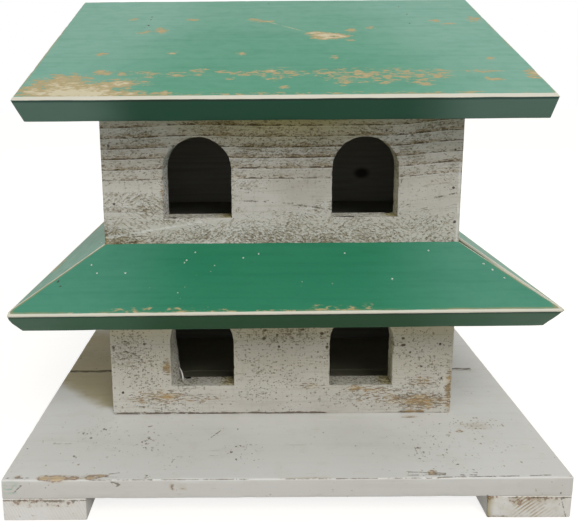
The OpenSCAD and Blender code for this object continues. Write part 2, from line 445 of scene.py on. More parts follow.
def add_board(
    node, slot, material, size, place, facing, step, seed,
    holes=(), slant=None, reveal_paint=(0.0, 0.0), marks=None, bend=None, knots=(),
    strip=None, fade=None, ring_start=0.0, ring_lean=(1.0, 0.45), end_grain=0.6,
):
    """One board. place(s, t, d) turns shares of length, height and depth into the front frame,
    and the board is then turned about Z to face its own side. marks holds patches and lines of
    wear, stains and painted shade by name, in mm: u from the board's middle, v from its lower
    edge, and on over the arrises, so that v = -5 lies on the lower edge, 5 mm from the outer
    face. reveal_paint is how much painted light lies on the left jamb and on the sill of the
    holes, slant reshapes the left hole, strip gives the widths of bare primer on the eave, its
    band and the ends, and fade how much painted sheen greys the green paint."""
    rng = np.random.default_rng(seed)
    size = np.array(size)
    length, height, thickness = size
    if holes:
        sheet = pierced_sheet(length, height, holes, *step)
    else:
        sheet = grid_sheet(graded(length, step[0]), graded(height, step[1]))
    fine = ARRIS_STEPS[:-1]
    middle = np.linspace(fine[-1], thickness - fine[-1], LAYERS + 1)[1:-1]
    local, quads = thicken(*sheet, np.concatenate([fine, middle, (thickness - fine)[::-1]]))

    face, under = local[:, 2] < TINY, local[:, 2] > thickness - TINY
    sides = np.minimum(local, size - local)
    first, second, _ = np.sort(sides, 1).T
    rim = np.where(first < TINY, second, first)
    rim, shade_and_dirt, painted_light = hole_fields(local, rim, sides[:, 2], holes, *reveal_paint)
    step_u, step_v, seen, low_edge = unfold(local, length)
    flat_u, flat_v = place(*(local / size).T)[0] + step_u, local[:, 1] + step_v
    fields = wear_fields(marks or {}, flat_u, flat_v, seen)
    # The painted shade on the sides of the holes joins the board's other darkening, with rougher,
    # more specked paint there.
    fields["stain_and_shade"] = np.maximum(fields["stain_and_shade"], shade_and_dirt)
    for key in ("rough", "speck"):
        fields[key] = fields[key] + DARK_SIDE_SHARE * shade_and_dirt
    end = np.where((sides[:, 0] < TINY) & (sides[:, 1] > 0), end_grain, 0.0)
    if strip:
        fields["strip"] = strip_field(local, face, low_edge, sides[:, 0], strip)

    radii = ARRIS_R * (1 + 0.35 * noise(local, 35 * MM, seed + 3))
    chips = np.clip(noise(local, (16 * MM, 9 * MM, 9 * MM), seed + 4) - 0.45, 0, 1)
    worn = WORN_R * np.clip(fields["wear"] - 0.4, 0, 1)
    local = round_arrises(local, size, radii + CHIP * chips + worn)
    for k, hole in enumerate(holes):
        local = round_hole(local, thickness, hole, ARRIS_R * 0.9, seed + 10 + 5 * k)
        if slant and k == 0:
            slant(local, hole)
    sawn = SAW_MARK * (0.5 + 0.5 * noise(local, (30 * MM, 3 * MM, 3 * MM), seed + 5))
    local[:, 2] += np.where(face, sawn, 0) - np.where(under, sawn, 0)

    points = np.stack(place(*(local / size).T), 1)
    u, v, w = points[:, 0], local[:, 1], local[:, 2]
    turn = np.array(Matrix.Rotation(math.radians(facing), 3, "Z"))
    points = points @ turn.T
    # fade carries the painted sheen of the green boards.
    if fade:
        fields["fade"] = fade(u, v)

    across = v - (bend(u, v) if bend else 0)
    rings, knot = wood_rings(u, across, w, rng, ring_lean, knots)
    attributes = {
        "grain": np.stack([u, across, w], 1) + rng.uniform(0, 40, 3),
        "board": np.stack([u, v, w], 1),
        "end": end, "ring": rings - ring_start, "knot": knot, "rim": rim, "painted_light": painted_light,
        **fields,
    }
    add_piece("board_" + node, slot, material, points, quads, attributes, node)
    outside = face & (rim > 2 * MM)
    OUTER_FACES[node] = slot, points[outside], u[outside], v[outside], turn @ outward(place)


def turned_box(node, facing):
    """Lowest and highest corner of a CAD node, as seen with its outer side at the front."""
    low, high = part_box(node)
    turn = Matrix.Rotation(math.radians(-facing), 3, "Z")
    a, b = turn @ low, turn @ high
    return Vector(map(min, a, b)), Vector(map(max, a, b))


def upright_size(node, facing):
    """Lowest corner of an upright board, and its length, height and thickness."""
    low, high = turned_box(node, facing)
    return low, (high.x - low.x, high.z - low.z, high.y - low.y)


def add_upright(node, slot, material, facing, **more):
    """A plain upright board, its outer face towards its own side."""
    low, size = upright_size(node, facing)

    def place(s, t, d):
        return low.x + s * size[0], low.y + d * size[2], low.z + t * size[1]

    add_board(node, slot, material, size, place, facing, (4 * MM, 3 * MM), **more)


def add_flat(node, slot, material, turn=FRONT, step=(5 * MM, 4 * MM), **more):
    """A board that lies flat, its outer face up and its grain along X, or along Y if turned."""
    low, high = turned_box(node, turn)
    size = high - low

    def place(s, t, d):
        return low.x + s * size.x, low.y + t * size.y, high.z - d * size.z

    add_board(node, slot, material, size, place, turn, step, **more)


def add_pierced(node, slot, facing, step=(3 * MM, 1.6 * MM), outer_h=None, **more):
    """A wall with two entrance holes. outer_h is the height of its outer face, if that is lower."""
    low, (length, height, thickness) = upright_size(node, facing)
    outer = outer_h or height
    holes = [Hole(length / 2 + side * HOLE_SPACING / 2) for side in (-1, 1)]
    rise_from = holes[0].top / outer

    def place(s, t, d):
        lift = (height - outer) * d * np.clip((t - rise_from) / (1 - rise_from), 0, 1)
        return low.x + s * length, low.y + d * thickness, low.z + t * outer + lift

    size = (length, outer, thickness)
    add_board(node, slot, wall_paint, size, place, facing, step, holes=holes, **more)


def add_gable(node, slot, facing, **more):
    """A triangular board, cut off just below its tip."""
    low, size = upright_size(node, facing)
    tip = 0.004

    def place(s, t, d):
        half = size[0] / 2 * (1 - t * (1 - tip))
        return (2 * s - 1) * half, low.y + d * size[2], low.z + t * size[1]

    add_board(node, slot, wall_paint, size, place, facing, (5 * MM, 3 * MM), **more)


def sloped_place(reach, overhang, eave_z, top_z, slope, thickness, left, right):
    """place() for a sloping board. Its outer face rises from eave_z, overhang beyond reach, to
    top_z at reach. left and right give its ends, at a distance out and a share of depth."""
    eave, top = np.array([reach + overhang, eave_z]), np.array([reach, top_z])
    eave_under = eave - thickness * np.array([math.sin(slope), math.cos(slope)])
    top_under = top - [0, thickness / math.cos(slope)]

    def place(s, t, d):
        t, d = t[:, None], d[:, None]
        outer = eave + (top - eave) * t
        under = eave_under + (top_under - eave_under) * t
        out, z = (outer + (under - outer) * d).T
        x0, x1 = left(out, d[:, 0]), right(out, d[:, 0])
        return x0 + (x1 - x0) * s, -out, z

    return place


def sheen_to_ends(length):
    """Painted sheen: the green is deepest in the middle of a board and paler and greyer towards its
    two ends.
    """
    return lambda u, v: smooth(np.abs(u), 0.12 * length, 0.5 * length)


# The ends of the skirt's boards, as [(distance out from the wall, distance past the corner), ...]

def mitre(overhang):
    return [(0, 0), (overhang, overhang)]


def open_hip(overhang):
    kink = OPEN_HIP_SHARE * overhang
    return [(0, -OPEN_HIP_GAP), (kink, kink), (overhang, overhang)]


def long_end(overhang):
    return [(0, 0), (overhang - LEFT_HIP_MISS, overhang), (overhang, overhang)]


def short_end(overhang):
    return [(0, 0), (overhang, overhang - LEFT_HIP_MISS)]


def add_skirt(node, facing, left_hip, right_hip, sag=0.0, end_sheen=1.0, **more):
    """A skirt board. sag lowers the left end of the lower edge, and fading is how much painted
    sheen greys the ends."""
    low, high = turned_box(node, facing)
    reach = -turned_box("upper_front_wall", FRONT)[0].y
    overhang = -low.y - reach
    edge_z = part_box("skirt_front")[1].z - overhang * math.tan(SKIRT_SLOPE)
    slope = math.atan((high.z - edge_z) / overhang)

    def end(hip, sign):
        outs, pasts = zip(*hip(overhang))
        return lambda out, d: sign * (reach + np.interp(out - reach, outs, pasts))

    straight = sloped_place(reach, overhang, edge_z, high.z, slope, SKIRT_T,
                            end(left_hip, -1), end(right_hip, 1))

    def place(s, t, d):
        x, y, z = straight(s, t, d)
        return x, y, z - sag * (1 - s) * (1 - t)

    size = (2 * reach + overhang, overhang / math.cos(slope), SKIRT_T)
    ends = sheen_to_ends(size[0])
    add_board(node, "skirt_paint", skirt_paint, size, place, facing, (4 * MM, 2.5 * MM),
              strip=SKIRT_STRIP, fade=lambda u, v: end_sheen * ends(u, v), **more)


def add_roof(node, facing, **more):
    """A roof board, from the eave to the ridge."""
    low, high = turned_box(node, facing)
    span, half = -low.y, (high.x - low.x) / 2
    eave_z = high.z - span * math.tan(ROOF_SLOPE)
    place = sloped_place(0.0, span, eave_z, high.z, ROOF_SLOPE, ROOF_T,
                         lambda out, d: -half + LEFT_UNDERCUT * d,
                         lambda out, d: half - RIGHT_UNDERCUT * d)
    size = (2 * half, span / math.cos(ROOF_SLOPE), ROOF_T)
    ends = sheen_to_ends(size[0])

    # On the roof the painted sheen also greys the paint towards the ridge.
    def fade(u, v):
        return ends(u, v) + 0.45 * smooth(v, 0.05, 0.24)

    add_board(node, "roof_paint", roof_paint, size, place, facing, (4 * MM, 3 * MM),
              strip=ROOF_STRIP, fade=fade, **more)


# Section of a nail's head: shares of its radius, and of how far it stands proud
NAIL_PROFILE = ((1.0, -0.6), (1.0, 0.55), (0.9, 0.9), (0.6, 1.0), (0.25, 0.8))
NAIL_MIDDLE, NAIL_FOOT = 0.75, -0.6
NAIL_SIDES = 16


def add_nails(node, material, radius, spots, proud=0.35 * MM):
    """Heads of nails on a board's outer face, at (u, v) in mm."""
    name = node.removesuffix("_wall") + "_nails"
    slot, on_face, face_u, face_v, out = OUTER_FACES[node]
    side = np.cross(out, [0.3, 0.2, 0.9])  # any direction along the face
    side /= np.linalg.norm(side)
    up = np.cross(out, side)
    turns = np.linspace(0, 2 * math.pi, NAIL_SIDES + 1)[:-1]
    circle = np.outer(np.cos(turns), side) + np.outer(np.sin(turns), up)
    points, faces = [], []
    rng = np.random.default_rng(len(name) + len(spots))
    for u, v in spots:
        centre = on_face[np.argmin(np.hypot(face_u - u * MM, face_v - v * MM))]
        index = numbered(len(NAIL_PROFILE), NAIL_SIDES, sum(map(len, points)))
        girth = rng.uniform(0.85, 1.15)
        for share, height in NAIL_PROFILE:
            points.append(centre + circle * radius * share * girth + out * proud * height)
        points += [(centre + out * proud * height)[None] for height in (NAIL_MIDDLE, NAIL_FOOT)]
        faces += round_net(index).tolist()
        middle, foot = index[-1, -1] + 1, index[-1, -1] + 2
        faces += [[a, b, middle] for a, b in zip(index[-1], np.roll(index[-1], -1))]
        faces += [[b, a, foot] for a, b in zip(index[0], np.roll(index[0], -1))]
    add_piece(name, slot, material, np.concatenate(points), faces, {})


def add_splinter(name, slot, material, low, high, bow, width, rings=13, sides=8):
    """A thin sliver of wood that has split off, bowed sideways between its two ends."""
    along = np.linspace(0, 1, rings)
    spine = np.outer(1 - along, low) + np.outer(along, high)
    spine[:, 0] += bow * np.sin(math.pi * along)
    half = width / 2 * np.sqrt(np.sin(math.pi * np.clip(along, 0.04, 0.96)))
    turns = np.linspace(0, 2 * math.pi, sides + 1)[:-1]
    ring = np.stack([np.cos(turns), 0.5 * np.sin(turns), 0 * turns], 1)
    points = (spine[:, None] + half[:, None, None] * ring).reshape(-1, 3)
    index = numbered(rings, sides)
    faces = [*round_net(index), index[0][::-1], index[-1]]
    add_piece(name, slot, material, points, faces, {"grain": points})


# ---------------------------------------------------------------- materials

class Nodes:
    """A node tree, built step by step."""

    def __init__(self, tree):
        self.tree = tree

    def make(self, kind, inputs=None, **settings):
        node = self.tree.nodes.new("ShaderNode" + kind)
        for key, value in settings.items():
            setattr(node, key, value)
        self.feed(node, inputs or {})
        return node

    def feed(self, node, inputs):
        """Sets inputs of a node, each to a wire, a number, or the parts of a colour."""
        for key, value in inputs.items():
            socket = node.inputs[key]
            if isinstance(value, Wire):
                self.tree.links.new(value.socket, socket)
            elif socket.type == "RGBA":
                socket.default_value = (*value, 1.0)
            else:
                socket.default_value = value

    def wire(self, kind, inputs=None, output=0, **settings):
        """What a new node gives."""
        return Wire(self, self.make(kind, inputs, **settings).outputs[output])

    def math(self, operation, *values):
        return self.wire("Math", dict(enumerate(values)), operation=operation)

    def larger(self, a, b):
        return self.math("MAXIMUM", a, b)


class Wire:
    """A number or colour that a node gives, which can be added, taken away and multiplied."""

    def __init__(self, nodes, socket):
        self.nodes, self.socket = nodes, socket

    def __add__(self, other):
        return self.nodes.math("ADD", self, other)

    def __sub__(self, other):
        if isinstance(other, Wire):
            return self.nodes.math("SUBTRACT", self, other)
        return self + -other

    def __mul__(self, other):
        return self.nodes.math("MULTIPLY", self, other)

    def __abs__(self):
        return self.nodes.math("ABSOLUTE", self)

    def swing(self, width):
        """Noise made to swing about 0, within that width."""
        return (self - 0.5) * width

    def ramp(self, low, high):
        """0 to 1 as the value goes from low to high."""
        inputs = {"Value": self, "From Min": low, "From Max": high}
        return self.nodes.wire("MapRange", inputs, interpolation_type="SMOOTHSTEP")


class Paint(Nodes):
    """A material whose colour is built up coat by coat. Shares run from 0 to 1, and shift
    keeps one noise from following another."""

    def __init__(self, name):
        self.material = bpy.data.materials.new(name)
        self.material.use_nodes = True
        super().__init__(self.material.node_tree)
        self.shader = self.tree.nodes["Principled BSDF"]

    def field(self, name, output="Fac"):
        return self.wire("Attribute", None, output, attribute_name=name)

    @functools.cached_property
    def grain(self):
        return self.field("grain", "Vector")

    def on_board(self, axis):
        """Distance from the board's lower or outer edge (Y), or from its outer face (Z)."""
        return self.wire("SeparateXYZ", {0: self.field("board", "Vector")}, axis)

    def mix(self, share, a, b, how="MIX"):
        """The colour a where share is 0 and b where it is 1."""
        return self.wire("Mix", {0: share, 6: a, 7: b}, 2, data_type="RGBA", blend_type=how)

    def coat(self, share, colour):
        """Covers the colour with another one where share is 1."""
        self.colour = self.mix(share, self.colour, colour)

    def tint(self, share, factor):
        """Multiplies the colour by factor where share is 1."""
        self.colour = self.mix(share, self.colour, factor, "MULTIPLY")

    def blend(self, share, a, b):
        """The number a where share is 0 and b where it is 1."""
        return self.wire("Mix", {0: share, 2: a, 3: b}, data_type="FLOAT")

    def stretched(self, along, across, shift, where=None):
        """Places on the board, scaled along and across the grain."""
        inputs = {0: where or self.grain, 1: (along, across, across), 2: (shift, shift, shift)}
        return self.wire("VectorMath", inputs, operation="MULTIPLY_ADD")

    def noise(
        self, along, across, detail=2.0, roughness=0.5, shift=0.0, distortion=0.0, tilt=0.0
    ):
        """Noise of about `along` and `across` repeats in a metre, along and across the grain,
        or across a line tilted from it."""
        where = None
        if tilt:
            inputs = {"Vector": self.grain, "Angle": tilt}
            where = self.wire("VectorRotate", inputs, rotation_type="Z_AXIS")
        inputs = {
            "Vector": self.stretched(along, across, shift, where), "Scale": 1.0,
            "Detail": detail, "Roughness": roughness, "Distortion": distortion,
        }
        return self.wire("TexNoise", inputs, "Fac")

    def flecks(self, along, across, density, size, shift=0.0):
        """Separate dots, about `along` and `across` to a metre if every one showed. density
        is the share that does, and size the radius of the largest, in spacings."""
        where = self.stretched(along, across, shift)
        cells = self.make("TexVoronoi", {"Vector": where, "Scale": 1.0})
        distance, colour = (Wire(self, cells.outputs[k]) for k in ("Distance", "Color"))
        pick = self.make("SeparateXYZ", {0: colour})
        rank, girth = (Wire(self, pick.outputs[axis]) for axis in "XY")
        reach = self.math("MULTIPLY_ADD", girth, 0.6 * size, 0.4 * size)
        ragged = self.noise(2.6 * along, 2.6 * across, 1.0, shift=shift + 0.7)
        reach = reach + (ragged - 0.5) * (0.9 * size)
        return (density - rank).ramp(0.0, 0.04) * (reach - distance).ramp(0.0, 0.14)

    def finish(self, roughness, height, depth, specular=0.5):
        """The material, with a bump of that depth in metres where height is 1."""
        bump = self.wire("Bump", {"Height": height, "Distance": depth, "Strength": 1.0})
        self.feed(self.shader, {
            "Base Color": self.colour, "Roughness": roughness, "Normal": bump,
            "Specular IOR Level": specular,
        })
        return self.material


def ring_phase(p, period, waver):
    """Runs from 0 to 1 between one growth ring and the next."""
    slow = p.noise(9, 40, 3.0, 0.6, shift=3.1).swing(waver)
    return p.math("FRACT", p.field("ring") * (1 / period) + slow)


def drawn_line(p, name, wide, low, high, along=70, shift=0.0):
    """A line of the field name: 1 on it, broken up along its length."""
    ragged = p.noise(along * 2, 500, 2.0, 0.6, shift=shift).swing(2.2 * wide)
    gap = abs(p.field(name)) + ragged
    line = gap.ramp(wide, 0.35 * wide) * p.field(name + "_near").ramp(0.1, 0.4)
    return line * p.noise(along, 90, 3.0, 0.7, shift=shift + 2).ramp(low, high)


def make_wall_paint():
    """Worn off-white paint on rough-sawn board, with dark cracks along the grain."""
    p = Paint("wall_paint")
    check, speck, rough, wear = map(p.field, ("check", "speck", "rough", "wear"))
    blotch = p.noise(11, 20, 3.0)
    p.colour = p.mix(blotch.ramp(0.35, 0.65), (0.51, 0.49, 0.435), (0.55, 0.53, 0.485))
    brushed = p.noise(14, 480, 2.0, 0.6, shift=21.0)
    p.tint(brushed.ramp(0.5, 0.75), (0.88, 0.87, 0.84))
    sawn = p.noise(420, 50, 2.0, 0.6, shift=26.0)
    p.tint(sawn.ramp(0.52, 0.76), (0.90, 0.90, 0.89))
    grime = p.field("smudge") * p.noise(14, 24, 3.0, shift=52.0).ramp(0.1, 0.6)
    p.tint(grime, (0.72, 0.70, 0.68))
    # Painted light: paler paint on the left jambs and the sills of the holes.
    p.coat(p.field("painted_light"), (0.74, 0.73, 0.71))

    # Fuzz of the saw: short slanting strokes, or level ones between growth rings
    phase = ring_phase(p, 10.8 * MM, 0.12)
    ringed = check.ramp(0.1, 0.9)
    above = phase.ramp(0.62, 0.05) * ringed
    patchy = p.noise(20, 34, 3.0, 0.6, shift=12.0)
    zone = patchy.swing(0.35) + above * 0.05 + rough * 0.10 + p.field("ridge_near") * -0.08
    rising = p.noise(160, 470, 2.0, 0.65, shift=7.7, tilt=0.6)
    falling = p.noise(160, 470, 2.0, 0.65, shift=8.1, tilt=-0.7)
    strokes = p.blend(p.noise(22, 26, 1.0, shift=5.6).ramp(0.47, 0.53), rising, falling)
    level = p.noise(110, 430, 3.0, 0.7, shift=9.9)
    strokes = p.blend(p.larger(ringed * 0.7, rough.ramp(-0.3, -0.8)), strokes, level)
    fuzz = strokes + zone
    coarse = fuzz.ramp(0.50, 0.67)
    p.coat(coarse * 0.66, (0.29, 0.25, 0.16))
    fine = p.noise(330, 560, 2.0, 0.6, shift=1.3, distortion=0.5) + zone
    fine = fine.ramp(0.54, 0.67)
    p.coat(fine * 0.82, (0.17, 0.14, 0.09))
    # Painted shadow above each crack along the rings.
    p.tint(above * patchy.ramp(0.35, 0.6), (0.86, 0.77, 0.64))
    # Painted highlight: a pale lip beside the strokes.
    lip_highlight = fuzz.ramp(0.40, 0.49) * fuzz.ramp(0.55, 0.50) * (zone + patchy).ramp(0.4, 0.7)
    p.coat(lip_highlight * 0.35, (0.72, 0.71, 0.68))

    # Cracks along the rings, with a painted highlight below each
    wide = p.noise(90, 200, 3.0, 0.7, shift=15.0).ramp(0.38, 0.66) * 0.17 + 0.04
    ragged = p.noise(160, 300, 2.0, 0.6, shift=16.0).swing(0.16)
    line = (wide - (phase + ragged)).ramp(0.0, 0.06)
    broken = p.noise(62, 110, 3.0, 0.75, shift=9.4).ramp(0.42, 0.52)
    crack = line * broken * check.ramp(0.2, 0.8)
    crack = p.larger(crack, drawn_line(p, "split", 1.0 * MM, 0.48, 0.58, along=170) * 0.8)
    crack = p.larger(crack, drawn_line(p, "joint", 1.6 * MM, 0.38, 0.48, along=60, shift=43.0))
    # Painted highlight below each crack, and pale lines along the ridges.
    below = phase.ramp(0.86, 0.97) * ringed
    ridge = drawn_line(p, "ridge", 1.6 * MM, 0.34, 0.56, shift=31.0)
    pale = p.larger(below * 0.4, ridge * 0.6)
    p.coat(pale, (0.68, 0.67, 0.64))
    p.coat(crack * 0.85, (0.095, 0.065, 0.04))

    # Paint worn off in thin dashes, with a haze of tan wood around them
    frayed = p.noise(60, 150, 3.0, 0.65, shift=18.0)
    thin = (wear * 0.45 + frayed.swing(0.9)).ramp(0.10, 0.75) * wear.ramp(0.0, 0.3)
    p.coat(thin * 0.5, (0.46, 0.33, 0.15))
    dashes = wear * 0.10 + p.noise(150, 600, 2.0, 0.65, shift=2.2)
    bare = dashes.ramp(0.58, 0.64) * wear.ramp(0.05, 0.4)
    wood = p.mix(frayed.ramp(0.42, 0.66), (0.16, 0.105, 0.05), (0.38, 0.235, 0.085))
    p.coat(bare * 0.75, wood)
    rim = p.field("rim") + p.noise(60, 60, 3.0, 0.6, shift=20.0) * -0.005
    p.coat(rim.ramp(-0.0024, -0.0032) * 0.6, (0.50, 0.41, 0.27))

    # Dark specks: level dashes and a few larger spots
    dots = p.noise(230, 440, 2.5, 0.65, shift=4.4) + speck * 0.10
    some, few = speck * 0.50 + (patchy - 0.54) * 0.7, speck * 0.34 - 0.20
    small = p.flecks(430, 560, some, 0.58, shift=24.4)
    p.coat(small * 0.62, (0.17, 0.135, 0.085))
    dark = p.larger(dots.ramp(0.70, 0.77) * 0.6, p.flecks(150, 210, few, 0.46, shift=44.0))
    p.coat(dark * 0.92, (0.085, 0.065, 0.04))
    # Olive darkening: painted shade under the eaves and the skirt and on the shaded sides of the
    # holes, partly grime.
    stain_and_shade = p.field("stain_and_shade") * p.noise(40, 90, 3.0, shift=6.1).ramp(-0.3, 0.5)
    p.tint(stain_and_shade, (0.90, 0.82, 0.46))

    height = coarse * -0.5 + fine * -0.3 + crack * -1.0 + (lip_highlight * 0.3 + pale * 0.4)
    height = height + p.larger(bare, p.larger(dark, small)) * -0.5
    return p.finish(strokes.ramp(-1.2, 0.6), height, 0.7 * MM, specular=0.25)


def make_platform_paint(name, low, high, sides=(1, 1, 1)):
    """Smooth pale paint on planed planks, chipped to tan wood at the arrises."""
    p = Paint(name)
    wear, speck = p.field("wear"), p.field("speck")
    p.colour = p.mix(p.noise(5, 9, 3.0).ramp(0.3, 0.7), low, high)
    # Painted shade: the sides and the front face of a plank are tinted darker than its top.
    p.tint(p.on_board("Z").ramp(0.5 * MM, 2 * MM), sides)
    streak = p.noise(7, 170, 3.0, 0.55, shift=7.7)
    p.tint(streak.ramp(0.5, 0.75) * 0.3, (0.88, 0.88, 0.85))
    cloud = p.noise(60, 90, 3.0, 0.6, shift=13.0)
    p.tint(cloud.ramp(0.5, 0.7) * 0.5, (0.94, 0.93, 0.90))
    hair = p.noise(22, 600, 2.0, 0.6, shift=19.0).ramp(0.66, 0.74) * cloud.ramp(0.50, 0.6)
    p.tint(hair, (0.72, 0.70, 0.64))

    # End grain shows through on sawn ends
    phase = ring_phase(p, 2.9 * MM, 0.3)
    arcs = phase.ramp(0.25, 0.75) * phase.ramp(1.0, 0.85)
    arcs = arcs * p.noise(40, 40, 3.0, shift=27.0).ramp(0.36, 0.54)
    arcs = arcs * (p.field("end") * p.field("rough").ramp(-0.8, -0.2))
    p.coat(arcs * 0.75, (0.40, 0.31, 0.19))

    # Paint chipped off to wood, with a dark edge and a haze around it
    frayed = p.noise(45, 260, 3.0, 0.6, shift=2.2)
    crumbly = p.noise(260, 300, 2.0, 0.6, shift=3.3)
    level = wear * 0.42 + (frayed.swing(0.8) + crumbly.swing(0.35))
    thin = (wear * 0.9 + frayed.swing(0.7)).ramp(0.1, 0.6) * wear.ramp(0.05, 0.25)
    p.coat(thin * 0.5, (0.47, 0.39, 0.28))
    edge = level.ramp(0.22, 0.29) * crumbly.ramp(0.36, 0.5)
    p.coat(edge * 0.7, (0.22, 0.13, 0.08))
    wood = p.mix(frayed.ramp(0.35, 0.65), (0.42, 0.30, 0.17), (0.58, 0.46, 0.30))
    p.coat(level.ramp(0.38, 0.44), wood)

    # Specks, cracks, the seams between planks, a smudge, the painted shadow beside the house and
    # the darkening inside it
    dots = p.noise(150, 150, 2.5, 0.65, shift=4.4) + speck * 0.10
    small = p.noise(300, 280, 2.0, 0.6, shift=14.4) + speck * 0.08
    dark = p.larger(dots.ramp(0.73, 0.78), small.ramp(0.70, 0.76) * 0.5)
    brown = p.flecks(330, 300, p.field("fleck") * 0.55, 0.5, shift=51.0)
    p.coat(brown * 0.65, (0.28, 0.22, 0.11))
    dark = p.larger(dark, drawn_line(p, "split", 0.8 * MM, 0.40, 0.50, along=100))
    p.coat(dark * 0.8, (0.15, 0.12, 0.08))
    seam = drawn_line(p, "joint", 1.8 * MM, 0.20, 0.32, along=40, shift=9.0)
    p.coat(seam * 0.85, (0.09, 0.07, 0.04))
    smudge = p.field("smudge") * p.noise(90, 330, 2.0, shift=35.0).ramp(0.42, 0.6)
    p.coat(smudge * 0.5, (0.22, 0.42, 0.32))
    # Olive painted shadow beside the house, partly grime, and the runner's painted shade; darker
    # still inside the house.
    stain_and_shade = p.field("stain_and_shade") + cloud.swing(0.25)
    p.tint(stain_and_shade.ramp(0.08, 0.52), (0.58, 0.51, 0.33))
    p.tint(stain_and_shade.ramp(0.55, 1.0), (0.8, 0.9, 1.1))

    height = streak * 0.5 + edge * -0.8 + (dark * -0.7 + cloud * 0.3)
    height = height + (arcs * -0.4 + seam * -1.0)
    return p.finish(frayed.ramp(-1.0, 1.4), height, 0.3 * MM, specular=0.4)


def make_green_paint(name, middle, ends, band_middle, band_ends):
    """Satin green paint, worn through to cream primer and tan wood. The band is the eave's own
    edge, and each colour is given for the board's middle and for its ends, which painted sheen
    makes paler and greyer."""
    p = Paint(name)
    wear = p.field("wear")
    # The fade field is painted sheen: a paler, greyer green towards the ends of a board, and on the
    # roof towards the ridge; the band is darkest in its middle.
    fade = (p.field("fade") + p.noise(6, 10, 3.0).swing(0.6)).ramp(0.0, 1.0)
    p.colour = p.mix(fade, middle, ends)
    streak = p.noise(9, 150, 3.0, 0.55, shift=7.7)
    p.tint(streak.ramp(0.42, 0.72) * 0.8, (0.80, 0.90, 0.88))
    cloud = p.noise(70, 110, 3.0, 0.6, shift=13.0)
    p.tint(cloud.ramp(0.45, 0.7) * 0.6, (0.84, 0.93, 0.91))
    p.tint(p.noise(9, 14, 2.0, shift=36.0).ramp(0.40, 0.66), (0.91, 0.97, 0.97))
    band = p.on_board("Y").ramp(1.1 * MM, 0.5 * MM)
    p.coat(band, p.mix(fade.ramp(0.1, 0.9), band_middle, band_ends))

    # Paint worn off to wood, flecks of primer and scrapes
    frayed = p.noise(45, 120, 3.0, 0.65, shift=2.2)
    combed = p.noise(120, 330, 2.0, 0.65, shift=8.3)
    level = wear * 0.5 + (frayed.swing(0.6) + combed.swing(2.3))
    here = wear.ramp(0.04, 0.25)
    p.coat(level.ramp(0.05, 0.45) * here * 0.4, (0.44, 0.37, 0.20))
    bare = level.ramp(0.28, 0.42) * here
    wood = p.mix(level.ramp(0.66, 1.1), (0.43, 0.34, 0.175), (0.62, 0.545, 0.375))
    p.coat(bare * 0.92, wood)
    chips = p.flecks(300, 260, p.field("fleck") * 0.55, 0.33, shift=5.1)
    p.coat(chips * 0.7, (0.56, 0.62, 0.47))
    scrape = drawn_line(p, "ridge", 1.2 * MM, 0.42, 0.58, along=50, shift=33.0)
    p.coat(scrape * 0.55, (0.62, 0.54, 0.37))

    # The strip of primer along the eave, brown above, with a painted shadow on the band below it
    ragged = p.noise(30, 60, 2.0, 0.6, shift=11.0).swing(0.0012)
    strip = p.field("strip") + ragged
    brown = strip.ramp(-0.0024, 0.0) * p.on_board("Y").ramp(2 * MM, 3 * MM)
    brown = brown * p.noise(16, 16, 3.0, 0.7, shift=41.0).ramp(0.42, 0.60)
    p.coat(brown * 0.8, (0.36, 0.28, 0.12))
    p.tint(band * strip.ramp(-0.003, -0.0012), (0.2, 0.35, 0.35))
    strip = strip.ramp(-0.0002, 0.0004)
    p.coat(strip, (0.64, 0.62, 0.52))
    dark = p.flecks(240, 200, p.field("speck") * 0.6, 0.5, shift=4.4)
    p.coat(dark, (0.05, 0.06, 0.045))

    worn = p.larger(p.larger(bare, scrape), strip)
    height = streak * 0.4 + worn * -0.8 + cloud * 0.3
    roughness = worn * 0.35 + (cloud * 0.2 + 0.33)
    return p.finish(roughness, height, 0.3 * MM, specular=0.3)


def make_nail_metal(name, bright, dull):
    """Old nail head, partly bare and partly rusted or painted over."""
    p = Paint(name)
    where = p.wire("TexCoord", None, "Object")
    patch = p.wire("TexNoise", {"Vector": where, "Scale": 900.0, "Detail": 2.0}, "Fac")
    p.colour = p.mix(patch.ramp(0.4, 0.6), bright, dull)
    return p.finish(patch.ramp(0.9, -0.1), patch, 0.2 * MM)


def make_bare_wood(name, low, high):
    """Unpainted board, with its growth rings, streaks and knots."""
    p = Paint(name)
    phase = ring_phase(p, 7 * MM, 0.9)
    rings = phase.ramp(0.0, 0.6) * phase.ramp(1.0, 0.7)
    streak = p.noise(10, 300, 4.0, 0.6, shift=7.7)
    p.colour = p.mix(rings, high, low)
    p.tint(streak.ramp(0.45, 0.7) * 0.6, (0.75, 0.75, 0.72))
    p.coat(p.field("knot").ramp(0.55, 1.5), (0.07, 0.06, 0.05))
    height = rings * 0.1 + streak * 0.3
    return p.finish(streak.ramp(-1.5, 0.6), height, 0.4 * MM, specular=0.2)


wall_paint = make_wall_paint()
# The last colour tints the planks' sides and front faces: painted shade.
platform_paint = make_platform_paint(
    "platform_paint", (0.670, 0.656, 0.615), (0.724, 0.714, 0.683), (0.86, 0.86, 0.855)
)
runner_paint = make_platform_paint("runner_paint", (0.70, 0.685, 0.65), (0.74, 0.735, 0.71))
# The roof's copy of the green is lighter and greyer than the skirt's, partly as painted sheen.
roof_paint = make_green_paint(
    "roof_paint", (0.075, 0.278, 0.172), (0.160, 0.352, 0.262),
    (0.0, 0.045, 0.020), (0.078, 0.148, 0.116),
)
skirt_paint = make_green_paint(
    "skirt_paint", (0.021, 0.196, 0.100), (0.066, 0.254, 0.165),
    (0.0, 0.05, 0.011), (0.028, 0.098, 0.050),
)
